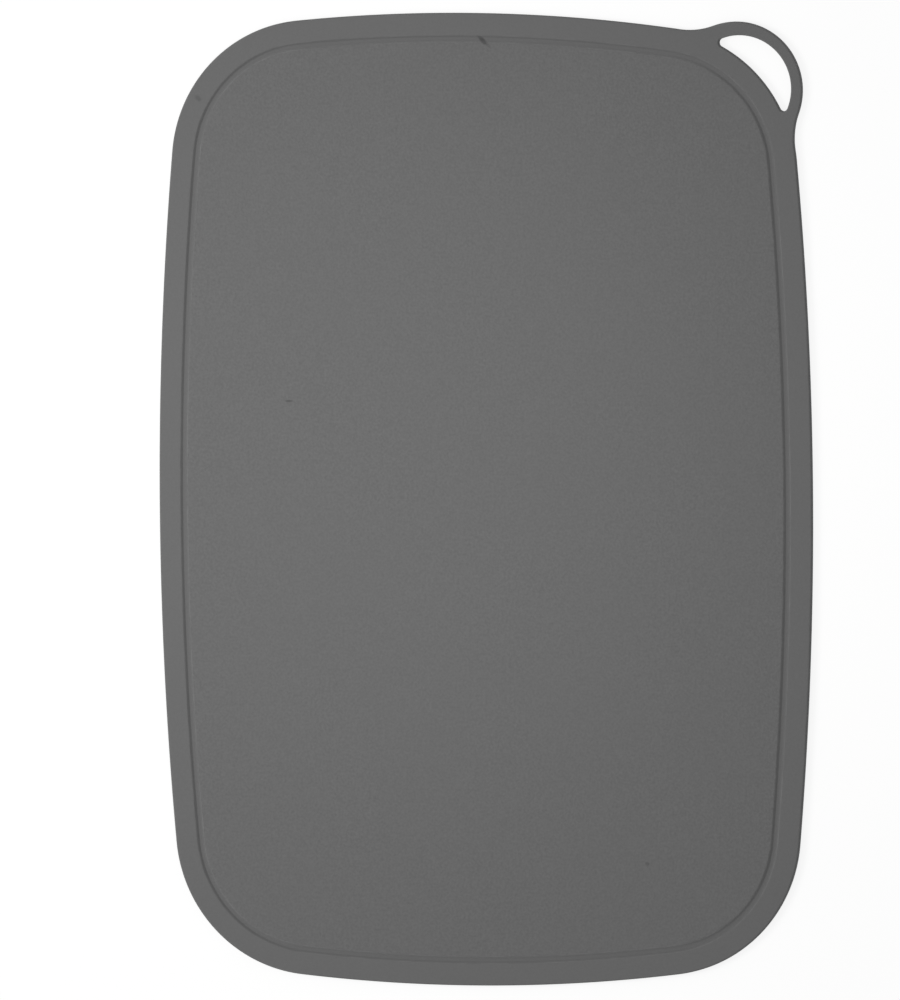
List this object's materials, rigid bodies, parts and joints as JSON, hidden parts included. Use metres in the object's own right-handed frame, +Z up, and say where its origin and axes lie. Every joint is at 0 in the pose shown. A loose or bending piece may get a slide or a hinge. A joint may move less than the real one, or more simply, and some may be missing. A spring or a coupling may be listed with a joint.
{
  "type": "flexible cutting mat",
  "caption": "Thin flexible grey cutting mat, a barrel-sided rounded rectangle with a juice groove round its cutting face and a hanging loop with a crescent slot at one corner.",
  "frame": {"origin": "on the surface that the mat lies on, under the middle of its outline", "axes": "+X across the mat, +Y along it towards the end with the hanging loop, +Z up out of the cutting face; the loop is at the +X +Y corner"},
  "size_m": [0.25, 0.36, 0.0025],
  "materials": {
    "mat_plastic": "satin grey moulded polyurethane, finely grained cutting face, smoother rim"
  },
  "bodies": {
    "root": {"cutting_mat": "mat_plastic"}
  },
  "joints": []
}
